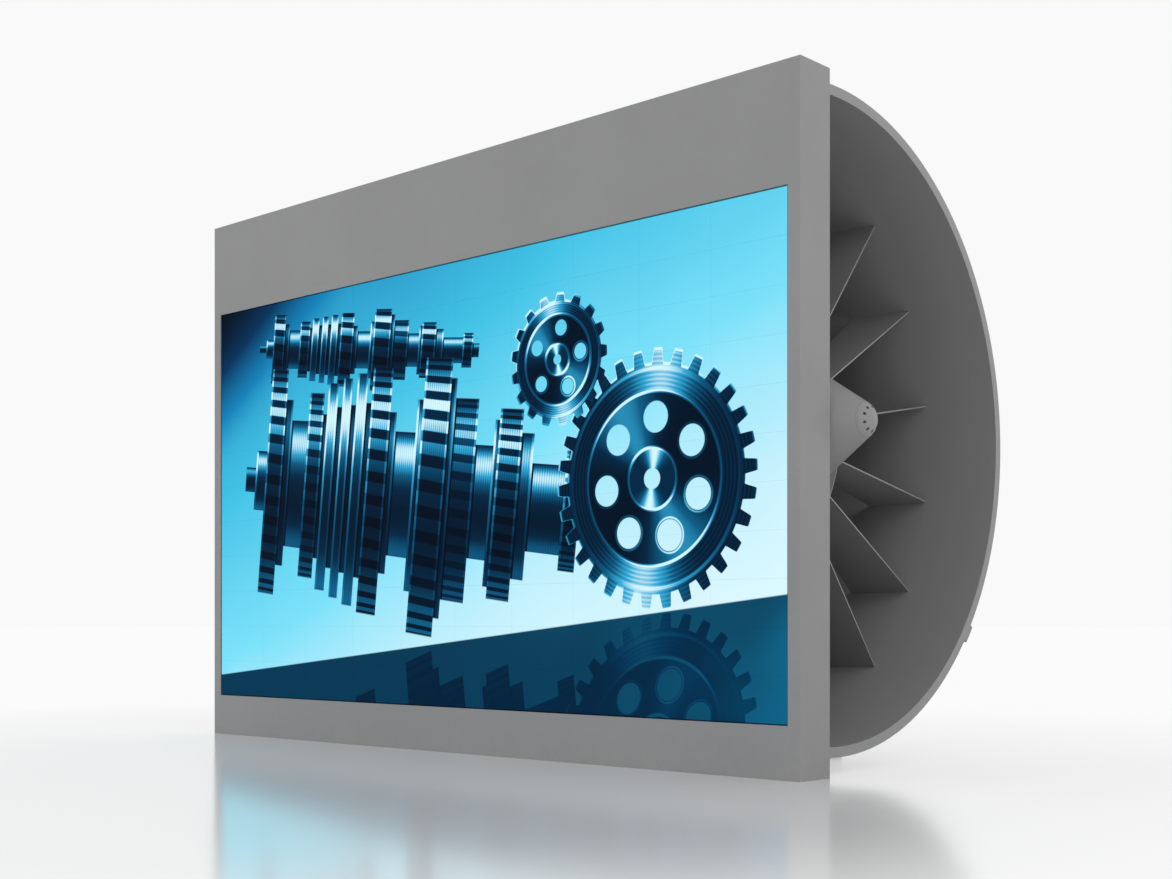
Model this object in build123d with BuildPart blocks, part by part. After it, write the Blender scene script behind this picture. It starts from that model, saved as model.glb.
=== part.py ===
from build123d import *
from math import cos, pi, radians, sin, sqrt
import os

# Free-standing exhibit stand: a slab display wall with half an engine intake on its back.
# X runs along the wall towards the intake's mouth, Y from the screen side to the back, Z up.
# The origin is on the floor, under the middle of the wall's footprint. Millimetres.

# Display wall: its width and height follow from the screen and the margins round it
wall_depth = 170
side_margin = 50
header_height = 410
sheet = 3
flange = 30
edge_round = 1
seam = 1

# Screen of square-edged modules
module_width = 320
module_height = 160
module_depth = 18
module_columns = 10
module_rows = 11
columns_per_bay = 2
module_reveal = 0.2
screen_bottom = 180
screen_recess = 4
window_clearance = 1
window_lip = 15

# Steel tubes behind the screen
keel_width = 50
keel_depth = 25
keel_wall = 2
keel_overrun = 40
rail_size = 40
rail_wall = 3
rail_end_gap = 40
rail_count = 4
post_width = 40
post_wall = 3
post_inset = 60

# Back covers
base_upstand = 60
back_sheet_count = 4
back_sheet_gap = 2
back_floor_gap = 5
vented_sheets = 2
vent_length = 240
vent_height = 8
vent_pitch_x = 320
vent_pitch_z = 26
vent_columns = 2
vent_rows = 5
vent_low_z = 380
vent_top_gap = 220

# Electrical parts on plates between the posts
plate_sheet = 2
plate_margin = 20
plate_low_z = 420
plate_high_z = 1780
supply_width = 212
supply_height = 112
supply_depth = 30
supply_columns = 3
supply_rows = 3
supply_pitch_z = 280
card_width = 140
card_height = 90
card_depth = 14
card_columns = 4
card_z = 1640
sender_width = 440
sender_height = 170
sender_depth = 45
sender_z = 560
inlet_inset = 170
inlet_z = 160
inlet_flange_width = 62
inlet_flange_height = 40
inlet_flange_sheet = 3
inlet_body_width = 48
inlet_body_height = 30
inlet_body_depth = 34
inlet_socket_width = 32
inlet_socket_height = 18
inlet_socket_depth = 16

# Intake duct, turned about an axis that runs along X behind the wall
mouth_inset = 53
axis_behind_wall = 128
duct_beam_gap = 18
duct_top_gap = 18
intake_length = 1200
rim_width = 36
ring_depth = 60
ring_lap = 30
flare = 0.03
flare_length = 580
skin = 3
seat_gap = 0.3
former_thickness = 18
sill_angle = 94
sill_arc = 10
bulkhead_thickness = 12

# Hub and spinner
hub_radius = 412
hub_setback = 268
hub_length = 260
hub_plate = 12
hub_angle_leg = 40
hub_angle_sheet = 4
hub_angle_length = 100
hub_angle_offset = 150
cone_base_radius = 297.5
cone_length = 378
nose_joint_radius = 61
nose_hole_radius = 5
nose_hole_sides = 12
nose_hole_circle = 41
nose_hole_floor = 7
nose_hole_count = 9

# Blades: flat plates in planes through the axis, fanned over half a turn
blade_count = 10
blade_thickness = 5
tip_lead_setback = 305
tip_trail_setback = 577
root_lead_setback = 282
root_trail_setback = 449
tab_length = 70
tab_depth = 8

# Lug on the outside of the rim
lug_angle = -39
lug_height = 18
lug_length = 70
lug_width = 40
lug_setback = 2

# Floor beams and cradles under the duct
beam_width = 80
beam_height = 40
beam_wall = 4
beam_length = 1060
cap_flange = 3
cap_plug = 20
beam_plate_width = 170
beam_plate_height = 50
beam_plate_sheet = 8
left_beam_inset = 450
middle_beam_inset = 83
right_beam_setback = 647
gusset_height = 260
gusset_length = 420
gusset_sheet = 8
cradle_start = 260
cradle_end = 760
cradle_web = 12
saddle_width = 60
saddle_sheet = 4
bolt_across_flats = 19
bolt_head_height = 8
bolt_offset = 65

os.makedirs("parts", exist_ok=True)

# Screen and wall outline
screen_width = module_columns * module_width
screen_height = module_rows * module_height
screen_middle = screen_bottom + screen_height / 2
window_width = screen_width + 2 * window_clearance
window_height = screen_height + 2 * window_clearance
wall_width = screen_width + 2 * side_margin
wall_height = screen_bottom + screen_height + header_height

# Layers through the wall, front to back
front_y = -wall_depth / 2
back_y = wall_depth / 2
fascia_back = front_y + sheet
module_front = front_y + screen_recess
module_back = module_front + module_depth
keel_back = module_back + keel_depth
rail_back = keel_back + rail_size
cover_front = back_y - sheet
post_depth = cover_front - rail_back
inner_half = wall_width / 2 - sheet

# Back sheets and the posts behind their joints
back_span = 2 * inner_half - 2 * seam
back_sheet_width = (back_span - (back_sheet_count - 1) * back_sheet_gap) / back_sheet_count
back_sheet_pitch = back_sheet_width + back_sheet_gap
back_sheet_top = wall_height - sheet - seam
post_limit = wall_width / 2 - post_inset
inlet_x = inlet_inset - wall_width / 2
vent_high_z = wall_height - vent_top_gap

# Intake stations along X
mouth_x = wall_width / 2 - mouth_inset
rear_x = mouth_x - intake_length
ring_back_x = mouth_x - ring_depth
lap_x = mouth_x - ring_lap
flare_end_x = mouth_x - flare_length
hub_face_x = mouth_x - hub_setback
nose_joint_x = hub_face_x + cone_length
duct_floor_gap = beam_height + duct_beam_gap
cowl_radius = (wall_height - duct_floor_gap - duct_top_gap) / 2
mouth_radius = cowl_radius - rim_width
axis_y = back_y + axis_behind_wall
axis_height = duct_floor_gap + cowl_radius
engine_axis = Axis((0, axis_y, axis_height), (1, 0, 0))
left_beam_x = left_beam_inset - wall_width / 2
middle_beam_x = rear_x + middle_beam_inset
right_beam_x = mouth_x - right_beam_setback


def wall_plane(y):
    """Upright plane parallel to the wall at depth y; a negative extrusion runs to the back."""
    return Plane.XZ.offset(-y)


def radial_plane(angle):
    """Plane through the engine axis, with local y outwards at the angle from the wall's normal."""
    tilt = radians(angle)
    return Plane(origin=(0, axis_y, axis_height), x_dir=(1, 0, 0), z_dir=(0, -sin(tilt), cos(tilt)))


def liner_radius(x):
    """Inner radius of the duct: it opens slightly behind the mouth, then runs straight."""
    return mouth_radius + flare * min(mouth_x - x, flare_length)


def post_x(index):
    """Middle of a post: behind a joint of the back sheets, or just inside the wall's end."""
    joint = (index - back_sheet_count / 2) * back_sheet_pitch
    return max(-post_limit, min(post_limit, joint))


def notch_for_posts():
    """Cut the posts' notches into the folded flanges being sketched."""
    for index in range(back_sheet_count + 1):
        with Locations((post_x(index), rail_back + post_depth / 2)):
            Rectangle(post_width + 2 * seam, post_depth, mode=Mode.SUBTRACT)


def trim_to_wall():
    """Cut the part being built flat where it stands on the back of the wall."""
    split(bisect_by=Plane(origin=(0, back_y, 0), z_dir=(0, 1, 0)), keep=Keep.TOP)


def save(builder, name):
    """Label a finished sub-part and write it to its own file."""
    builder.part.label = name
    export_step(builder.part, f"parts/{name}.step")


# Front fascia: one sheet with the screen window and a folded lip round it
with BuildPart() as front_fascia:
    with BuildSketch(wall_plane(front_y)):
        with Locations((0, wall_height / 2)):
            Rectangle(wall_width, wall_height)
        with Locations((0, screen_middle)):
            Rectangle(window_width, window_height, mode=Mode.SUBTRACT)
    extrude(amount=-sheet)
    with BuildSketch(wall_plane(fascia_back)):
        with Locations((0, screen_middle)):
            Rectangle(window_width + 2 * sheet, window_height + 2 * sheet)
            Rectangle(window_width, window_height, mode=Mode.SUBTRACT)
    extrude(amount=-window_lip)
    face_edges = front_fascia.faces().sort_by(Axis.Y)[0].edges()
    uprights = face_edges.filter_by(Axis.Z).sort_by(Axis.X)
    level_edges = face_edges.filter_by(Axis.X).sort_by(Axis.Z)
    fillet([uprights[0], uprights[-1], level_edges[-1]], radius=edge_round)
save(front_fascia, "front_fascia")

# Side covers: folded channels that close the wall's ends
with BuildPart() as side_cover_right:
    with BuildSketch(Plane.XY):
        with Locations((inner_half, fascia_back)):
            Rectangle(sheet, wall_depth - sheet, align=(Align.MIN, Align.MIN))
    extrude(amount=wall_height)
    with BuildSketch(Plane.XY.offset(sheet + base_upstand + seam)):
        for flange_y in (fascia_back, cover_front - sheet):
            with Locations((inner_half, flange_y)):
                Rectangle(flange, sheet, align=(Align.MAX, Align.MIN))
    extrude(amount=wall_height - 2 * sheet - base_upstand - flange - 2 * seam)
save(side_cover_right, "side_cover_right")

with BuildPart() as side_cover_left:
    mirror(side_cover_right.part, about=Plane.YZ)
save(side_cover_left, "side_cover_left")

# Top cover: a folded channel, open side down
with BuildPart() as top_cover:
    with BuildSketch(Plane.XY.offset(wall_height - sheet)):
        with Locations((0, fascia_back)):
            Rectangle(2 * inner_half, wall_depth - sheet, align=(Align.CENTER, Align.MIN))
    extrude(amount=sheet)
    with BuildSketch(Plane.XY.offset(wall_height - sheet)):
        for flange_y in (fascia_back, cover_front - sheet):
            with Locations((0, flange_y)):
                Rectangle(2 * inner_half, sheet, align=(Align.CENTER, Align.MIN))
        notch_for_posts()
    extrude(amount=-flange)
save(top_cover, "top_cover")

# Base tray: a folded channel that stands on the floor, open side up
with BuildPart() as base_tray:
    with BuildSketch(Plane.XY):
        with Locations((0, fascia_back)):
            Rectangle(2 * inner_half, cover_front - fascia_back, align=(Align.CENTER, Align.MIN))
    extrude(amount=sheet)
    with BuildSketch(Plane.XY.offset(sheet)):
        for flange_y in (fascia_back, cover_front - sheet):
            with Locations((0, flange_y)):
                Rectangle(2 * inner_half, sheet, align=(Align.CENTER, Align.MIN))
        notch_for_posts()
    extrude(amount=base_upstand)
save(base_tray, "base_tray")

# Back sheets: flat covers side by side, with louvres away from the duct and one power inlet cut-out
for index in range(back_sheet_count):
    sheet_x = (index - (back_sheet_count - 1) / 2) * back_sheet_pitch
    with BuildPart() as back_sheet:
        with BuildSketch(wall_plane(cover_front)):
            with Locations((sheet_x, back_floor_gap)):
                Rectangle(back_sheet_width, back_sheet_top - back_floor_gap,
                          align=(Align.CENTER, Align.MIN))
            if index < vented_sheets:
                with Locations((sheet_x, vent_low_z), (sheet_x, vent_high_z)):
                    with GridLocations(vent_pitch_x, vent_pitch_z, vent_columns, vent_rows):
                        Rectangle(vent_length, vent_height, mode=Mode.SUBTRACT)
            if abs(inlet_x - sheet_x) < back_sheet_width / 2:
                with Locations((inlet_x, inlet_z)):
                    Rectangle(inlet_body_width + 2 * seam, inlet_body_height + 2 * seam,
                              mode=Mode.SUBTRACT)
        extrude(amount=-sheet)
    save(back_sheet, f"back_sheet_{index + 1}")

# Power inlet: a flanged socket let into the back sheet
with BuildPart() as power_inlet:
    with BuildSketch(wall_plane(back_y)):
        with Locations((inlet_x, inlet_z)):
            RectangleRounded(inlet_flange_width, inlet_flange_height, inlet_flange_sheet)
    extrude(amount=-inlet_flange_sheet)
    with BuildSketch(wall_plane(back_y)):
        with Locations((inlet_x, inlet_z)):
            Rectangle(inlet_body_width, inlet_body_height)
    extrude(amount=inlet_body_depth)
    with BuildSketch(wall_plane(back_y + inlet_flange_sheet)):
        with Locations((inlet_x, inlet_z)):
            Rectangle(inlet_socket_width, inlet_socket_height)
    extrude(amount=inlet_socket_depth, mode=Mode.SUBTRACT)
save(power_inlet, "power_inlet")

# Posts: upright tubes between the base tray and the top cover
for index in range(back_sheet_count + 1):
    with BuildPart() as frame_post:
        with BuildSketch(Plane.XY.offset(sheet)):
            with Locations((post_x(index), rail_back + post_depth / 2)):
                Rectangle(post_width, post_depth)
                Rectangle(post_width - 2 * post_wall, post_depth - 2 * post_wall,
                          mode=Mode.SUBTRACT)
        extrude(amount=wall_height - 2 * sheet)
    save(frame_post, f"frame_post_{index + 1}")

# Cross rails: level tubes across the front of the posts
rail_length = 2 * (wall_width / 2 - rail_end_gap)
rail_low_z = screen_bottom + rail_size
rail_pitch = (screen_height - 2 * rail_size) / (rail_count - 1)
with BuildPart() as cross_rails:
    with BuildSketch(Plane.YZ.offset(-rail_length / 2)):
        for index in range(rail_count):
            with Locations((keel_back + rail_size / 2, rail_low_z + index * rail_pitch)):
                Rectangle(rail_size, rail_size)
                Rectangle(rail_size - 2 * rail_wall, rail_size - 2 * rail_wall, mode=Mode.SUBTRACT)
    extrude(amount=rail_length)
save(cross_rails, "cross_rails")

# Keel bars: upright tubes behind every seam between the screen's columns
with BuildPart() as keel_bars:
    with BuildSketch(Plane.XY.offset(screen_bottom - keel_overrun)):
        for index in range(module_columns + 1):
            seam_x = (index - module_columns / 2) * module_width
            with Locations((seam_x, module_back + keel_depth / 2)):
                Rectangle(keel_width, keel_depth)
                Rectangle(keel_width - 2 * keel_wall, keel_depth - 2 * keel_wall,
                          mode=Mode.SUBTRACT)
    extrude(amount=screen_height + 2 * keel_overrun)
save(keel_bars, "keel_bars")

# Screen bays: square modules on the keel bars, two columns to a bay
bay_count = module_columns // columns_per_bay
for bay in range(bay_count):
    bay_x = (bay - (bay_count - 1) / 2) * columns_per_bay * module_width
    with BuildPart() as screen_bay:
        with BuildSketch(wall_plane(module_front)):
            with Locations((bay_x, screen_middle)):
                with GridLocations(module_width, module_height, columns_per_bay, module_rows):
                    Rectangle(module_width - module_reveal, module_height - module_reveal)
        extrude(amount=-module_depth)
    save(screen_bay, f"screen_bay_{bay + 1}")

# Equipment plates: sheets on the backs of the cross rails, in the two middle bays
plate_width = back_sheet_pitch - post_width - 2 * plate_margin
plate_places = (-back_sheet_pitch / 2, back_sheet_pitch / 2)
with BuildPart() as equipment_plates:
    with BuildSketch(wall_plane(rail_back)):
        for plate_x in plate_places:
            with Locations((plate_x, plate_low_z)):
                Rectangle(plate_width, plate_high_z - plate_low_z, align=(Align.CENTER, Align.MIN))
    extrude(amount=-plate_sheet)
save(equipment_plates, "equipment_plates")

# Power supplies: a block of slim cases on each plate
plate_middle_z = (plate_low_z + plate_high_z) / 2
with BuildPart() as power_supplies:
    with BuildSketch(wall_plane(rail_back + plate_sheet)):
        for plate_x in plate_places:
            with Locations((plate_x, plate_middle_z)):
                with GridLocations(plate_width / supply_columns, supply_pitch_z,
                                   supply_columns, supply_rows):
                    Rectangle(supply_width, supply_height)
    extrude(amount=-supply_depth)
save(power_supplies, "power_supplies")

# Receiving cards: one row at the top of each plate
with BuildPart() as receiving_cards:
    with BuildSketch(wall_plane(rail_back + plate_sheet)):
        for plate_x in plate_places:
            with Locations((plate_x, card_z)):
                with GridLocations(plate_width / card_columns, card_height, card_columns, 1):
                    Rectangle(card_width, card_height)
    extrude(amount=-card_depth)
save(receiving_cards, "receiving_cards")

# Sender box: the picture source, low on the first plate
with BuildPart() as sender_box:
    with BuildSketch(wall_plane(rail_back + plate_sheet)):
        with Locations((plate_places[0], sender_z)):
            Rectangle(sender_width, sender_height)
    extrude(amount=-sender_depth)
save(sender_box, "sender_box")

# Mouth ring: the flat-faced rim, rebated outside for the cowl skin and inside for the liner
with BuildPart() as mouth_ring:
    with BuildSketch(radial_plane(0)):
        with BuildLine():
            Polyline(
                (mouth_x, mouth_radius),
                (mouth_x, cowl_radius),
                (lap_x, cowl_radius),
                (lap_x, cowl_radius - skin - seat_gap),
                (ring_back_x, cowl_radius - skin - seat_gap),
                (ring_back_x, liner_radius(ring_back_x) + skin + seat_gap),
                (lap_x, liner_radius(lap_x) + skin + seat_gap),
                (lap_x, liner_radius(lap_x)),
                close=True,
            )
        make_face()
    revolve(axis=engine_axis)
    trim_to_wall()
save(mouth_ring, "mouth_ring")

# Cowl skin: the outer sheet, from the ring's rebate to the bulkhead
with BuildPart() as cowl_skin:
    with BuildSketch(radial_plane(0)):
        with Locations((rear_x, cowl_radius)):
            Rectangle(lap_x - rear_x, skin, align=(Align.MIN, Align.MAX))
    revolve(axis=engine_axis)
    trim_to_wall()
save(cowl_skin, "cowl_skin")

# Duct liner: the inner sheet, which opens behind the mouth and then runs straight
liner_back_x = rear_x + bulkhead_thickness
with BuildPart() as duct_liner:
    with BuildSketch(radial_plane(0)):
        with BuildLine():
            Polyline(
                (lap_x, liner_radius(lap_x)),
                (flare_end_x, liner_radius(flare_end_x)),
                (liner_back_x, liner_radius(liner_back_x)),
                (liner_back_x, liner_radius(liner_back_x) + skin),
                (flare_end_x, liner_radius(flare_end_x) + skin),
                (lap_x, liner_radius(lap_x) + skin),
                close=True,
            )
        make_face()
    revolve(axis=engine_axis)
    trim_to_wall()
save(duct_liner, "duct_liner")

# Former: a hoop between the two skins, over the right cradle, that ends at the sills
former_front = right_beam_x + former_thickness / 2
former_back = right_beam_x - former_thickness / 2
with BuildPart() as former:
    with BuildSketch(radial_plane(-sill_angle)):
        with BuildLine():
            Polyline(
                (former_front, liner_radius(former_front) + skin + seat_gap),
                (former_front, cowl_radius - skin - seat_gap),
                (former_back, cowl_radius - skin - seat_gap),
                (former_back, liner_radius(former_back) + skin + seat_gap),
                close=True,
            )
        make_face()
    revolve(axis=engine_axis, revolution_arc=2 * sill_angle)
save(former, "former")

# Sills: tapered battens between the skins, screwed to the wall along the duct's two edges
for name, start_angle in (("sill_top", sill_angle), ("sill_bottom", -sill_angle - sill_arc)):
    with BuildPart() as sill:
        with BuildSketch(radial_plane(start_angle)):
            with BuildLine():
                Polyline(
                    (ring_back_x, liner_radius(ring_back_x) + skin + seat_gap),
                    (flare_end_x, liner_radius(flare_end_x) + skin + seat_gap),
                    (liner_back_x, liner_radius(liner_back_x) + skin + seat_gap),
                    (liner_back_x, cowl_radius - skin - seat_gap),
                    (ring_back_x, cowl_radius - skin - seat_gap),
                    close=True,
                )
            make_face()
        revolve(axis=engine_axis, revolution_arc=sill_arc)
        trim_to_wall()
    save(sill, name)

# Rear bulkhead: a flat board that closes the duct
with BuildPart() as rear_bulkhead:
    with BuildSketch(Plane.YZ.offset(rear_x)):
        with Locations((axis_y, axis_height)):
            Circle(cowl_radius - skin - seat_gap)
    extrude(amount=bulkhead_thickness)
    trim_to_wall()
save(rear_bulkhead, "rear_bulkhead")

# Rim lug: a small block on the outside of the mouth ring
lug_arc = lug_length / cowl_radius * 180 / pi
with BuildPart() as rim_lug:
    with BuildSketch(radial_plane(lug_angle - lug_arc / 2)):
        with Locations((mouth_x - lug_setback, cowl_radius)):
            Rectangle(lug_width, lug_height, align=(Align.MAX, Align.MIN))
    revolve(axis=engine_axis, revolution_arc=lug_arc)
save(rim_lug, "rim_lug")

# Hub plates: two boards that carry the hub skin and stand on the wall
hub_back_x = hub_face_x - hub_length
for name, plate_x in (("hub_front_plate", hub_face_x - hub_plate), ("hub_rear_plate", hub_back_x)):
    with BuildPart() as hub_board:
        with BuildSketch(Plane.YZ.offset(plate_x)):
            with Locations((axis_y, axis_height)):
                Circle(hub_radius - skin - seat_gap)
        extrude(amount=hub_plate)
        trim_to_wall()
    save(hub_board, name)

# Hub skin: a rolled sheet round the plates, slotted for the blades' root tabs
blade_pitch = 180 / (blade_count - 1)
blade_angles = [index * blade_pitch - 90 for index in range(blade_count)]
root_middle = mouth_x - (root_lead_setback + root_trail_setback) / 2
with BuildPart() as hub_skin:
    with BuildSketch(radial_plane(0)):
        with Locations((hub_back_x, hub_radius)):
            Rectangle(hub_length, skin, align=(Align.MIN, Align.MAX))
    revolve(axis=engine_axis)
    trim_to_wall()
    for angle in blade_angles:
        with BuildSketch(radial_plane(angle)):
            with Locations((root_middle, hub_radius)):
                Rectangle(tab_length + 2 * seat_gap, 2 * tab_depth)
        extrude(amount=blade_thickness / 2 + seat_gap, both=True, mode=Mode.SUBTRACT)
save(hub_skin, "hub_skin")

# Hub angles: folded brackets inside the hub that hold its plates to the wall
with BuildPart() as hub_angles:
    for face_x, turn in ((hub_face_x - hub_plate, Align.MAX), (hub_back_x + hub_plate, Align.MIN)):
        for side in (-hub_angle_offset, hub_angle_offset):
            with BuildSketch(Plane.XY.offset(axis_height + side - hub_angle_length / 2)):
                with Locations((face_x, back_y)):
                    Rectangle(hub_angle_leg, hub_angle_sheet, align=(turn, Align.MIN))
                    Rectangle(hub_angle_sheet, hub_angle_leg, align=(turn, Align.MIN))
            extrude(amount=hub_angle_length)
save(hub_angles, "hub_angles")

# Spinner: a turned cone with a round nose tangent to it and a circle of blind holes
cone_taper = (cone_base_radius - nose_joint_radius) / cone_length
nose_radius = nose_joint_radius * sqrt(1 + cone_taper**2)
nose_tip_x = nose_joint_x - nose_joint_radius * cone_taper + nose_radius
with BuildPart() as spinner:
    with BuildSketch(radial_plane(0)):
        with BuildLine():
            side = Line((hub_face_x, cone_base_radius), (nose_joint_x, nose_joint_radius))
            nose = RadiusArc(side @ 1, (nose_tip_x, 0), nose_radius)
            Polyline(nose @ 1, (hub_face_x, 0), side @ 0)
        make_face()
    revolve(axis=engine_axis)
    with BuildSketch(Plane.YZ.offset(nose_joint_x + nose_hole_floor)):
        with Locations((axis_y, axis_height)):
            with PolarLocations(nose_hole_circle, nose_hole_count):
                RegularPolygon(nose_hole_radius, nose_hole_sides)
    extrude(amount=nose_radius, mode=Mode.SUBTRACT)
    trim_to_wall()
save(spinner, "spinner")

# Blades: flat plates with tapered chords, tabbed into the hub skin
for index, angle in enumerate(blade_angles):
    with BuildPart() as blade:
        with BuildSketch(radial_plane(angle)):
            with BuildLine():
                Polyline(
                    (mouth_x - root_lead_setback, hub_radius + seat_gap),
                    (mouth_x - tip_lead_setback,
                     liner_radius(mouth_x - tip_lead_setback) - seat_gap),
                    (mouth_x - tip_trail_setback,
                     liner_radius(mouth_x - tip_trail_setback) - seat_gap),
                    (mouth_x - root_trail_setback, hub_radius + seat_gap),
                    close=True,
                )
            make_face()
            with Locations((root_middle, hub_radius + seat_gap)):
                Rectangle(tab_length, tab_depth + seat_gap, align=(Align.CENTER, Align.MAX))
        extrude(amount=blade_thickness / 2, both=True)
    save(blade, f"blade_{index + 1}")

# Floor beams: tubes that run back from the wall's foot, each with a bolted end plate
beam_places = {"left": left_beam_x, "middle": middle_beam_x, "right": right_beam_x}
for place, beam_x in beam_places.items():
    with BuildPart() as floor_beam:
        with BuildSketch(wall_plane(back_y + beam_plate_sheet)):
            with Locations((beam_x, beam_height / 2)):
                Rectangle(beam_width, beam_height)
                Rectangle(beam_width - 2 * beam_wall, beam_height - 2 * beam_wall,
                          mode=Mode.SUBTRACT)
        extrude(amount=-beam_length)
        with BuildSketch(wall_plane(back_y)):
            with Locations((beam_x, 0)):
                Rectangle(beam_plate_width, beam_plate_height, align=(Align.CENTER, Align.MIN))
                if place == "left":
                    Rectangle(beam_width, beam_height + gusset_height,
                              align=(Align.CENTER, Align.MIN))
        extrude(amount=-beam_plate_sheet)
        if place == "left":
            with BuildSketch(Plane.YZ.offset(beam_x)):
                with BuildLine():
                    Polyline(
                        (back_y + beam_plate_sheet, beam_height),
                        (back_y + beam_plate_sheet + gusset_length, beam_height),
                        (back_y + beam_plate_sheet, beam_height + gusset_height),
                        close=True,
                    )
                make_face()
            extrude(amount=gusset_sheet / 2, both=True)
    save(floor_beam, f"floor_beam_{place}")

# Beam caps: plugs that close the tubes' far ends
beam_end_y = back_y + beam_plate_sheet + beam_length
with BuildPart() as beam_caps:
    with BuildSketch(wall_plane(beam_end_y)):
        for beam_x in beam_places.values():
            with Locations((beam_x, beam_height / 2)):
                Rectangle(beam_width, beam_height)
    extrude(amount=-cap_flange)
    with BuildSketch(wall_plane(beam_end_y)):
        for beam_x in beam_places.values():
            with Locations((beam_x, beam_height / 2)):
                Rectangle(beam_width - 2 * (beam_wall + seat_gap),
                          beam_height - 2 * (beam_wall + seat_gap))
    extrude(amount=cap_plug)
save(beam_caps, "beam_caps")

# Cradles: webs with curved saddles that carry the duct on the two beams under it
saddle_radius = cowl_radius + seat_gap
saddle_back = saddle_radius + saddle_sheet
for place in ("middle", "right"):
    with BuildPart() as cradle:
        with BuildSketch(Plane.YZ.offset(beam_places[place])):
            with Locations((axis_y + cradle_start, beam_height)):
                Rectangle(cradle_end - cradle_start, axis_height - beam_height,
                          align=(Align.MIN, Align.MIN))
            with Locations((axis_y, axis_height)):
                Circle(saddle_radius, mode=Mode.SUBTRACT)
        extrude(amount=cradle_web / 2, both=True)
        with BuildSketch(Plane.YZ.offset(beam_places[place])):
            with Locations((axis_y, axis_height)):
                Circle(saddle_back)
                Circle(saddle_radius, mode=Mode.SUBTRACT)
            with Locations((axis_y + cradle_start, beam_height)):
                Rectangle(cradle_end - cradle_start, axis_height - beam_height,
                          align=(Align.MIN, Align.MIN), mode=Mode.INTERSECT)
        extrude(amount=saddle_width / 2, both=True)
        with BuildSketch(Plane.XY.offset(beam_height)):
            with Locations((beam_places[place], axis_y + cradle_start)):
                Rectangle(saddle_width, cradle_end - cradle_start, align=(Align.CENTER, Align.MIN))
        extrude(amount=saddle_sheet)
    save(cradle, f"cradle_{place}")

# Beam bolts: hexagon heads on the end plates, either side of each tube
with BuildPart() as beam_bolts:
    with BuildSketch(wall_plane(back_y + beam_plate_sheet)):
        for beam_x in beam_places.values():
            for side in (-bolt_offset, bolt_offset):
                with Locations((beam_x + side, beam_plate_height / 2)):
                    RegularPolygon(bolt_across_flats / 2, 6, major_radius=False)
    extrude(amount=-bolt_head_height)
save(beam_bolts, "beam_bolts")
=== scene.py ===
import logging
import math
from dataclasses import dataclass
from enum import Enum
from typing import Iterable, Optional, Union

import bmesh
import bpy
from mathutils import Matrix, Vector


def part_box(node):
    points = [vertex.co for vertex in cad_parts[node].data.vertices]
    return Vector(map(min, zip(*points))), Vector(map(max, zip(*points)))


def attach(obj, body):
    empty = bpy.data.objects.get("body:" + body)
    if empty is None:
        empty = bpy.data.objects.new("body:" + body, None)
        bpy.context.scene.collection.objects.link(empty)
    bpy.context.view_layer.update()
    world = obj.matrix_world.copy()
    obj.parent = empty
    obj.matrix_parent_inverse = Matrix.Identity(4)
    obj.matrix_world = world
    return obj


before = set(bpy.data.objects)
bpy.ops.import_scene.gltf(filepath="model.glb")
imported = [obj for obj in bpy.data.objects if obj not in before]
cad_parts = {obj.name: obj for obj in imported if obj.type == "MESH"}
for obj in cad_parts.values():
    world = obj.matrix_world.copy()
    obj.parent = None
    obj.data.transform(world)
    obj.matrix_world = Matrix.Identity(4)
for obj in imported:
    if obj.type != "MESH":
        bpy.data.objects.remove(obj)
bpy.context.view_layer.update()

BODY = "root"
LOG = logging.getLogger("stand")

Colour = tuple[float, float, float]
Place = tuple[float, float, float]
Span = tuple[float, float]
Stop = tuple[float, Colour]
Coats = tuple[tuple[str, ...], ...]
Number = Union[float, "Term"]
Palette = dict[str, bpy.types.Material]
Socket = bpy.types.NodeSocket

AXIS_Y, AXIS_Z = 0.213, 1.195  # where the duct's level axis lies, in metres
TURN = 2 * math.pi
BLACK: Colour = (0.0, 0.0, 0.0)
EVEN: Colour = (1.0, 1.0, 1.0)
DUST: Colour = (0.42, 0.41, 0.39)
NOISE_CORE: Span = (0.3, 0.7)  # the range that nearly all of a noise lies in
FACED: Span = (0.5, 0.9)  # how far a face is turned one way, from hardly to fully
PEEL_SCALE = 420.0  # lumps of orange peel in a metre
SHARP = math.radians(35)  # an edge that turns more than this stays sharp
MERGE = 1e-7  # points nearer than this are one point

# The metal of the picture's wheels and rollers, from its darkest to its brightest
METAL: tuple[Stop, ...] = (
    (0.00, (0.0006, 0.003, 0.009)),
    (0.22, (0.001, 0.022, 0.060)),
    (0.46, (0.004, 0.11, 0.24)),
    (0.74, (0.035, 0.42, 0.70)),
    (1.00, (0.66, 0.94, 1.00)),
)

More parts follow.
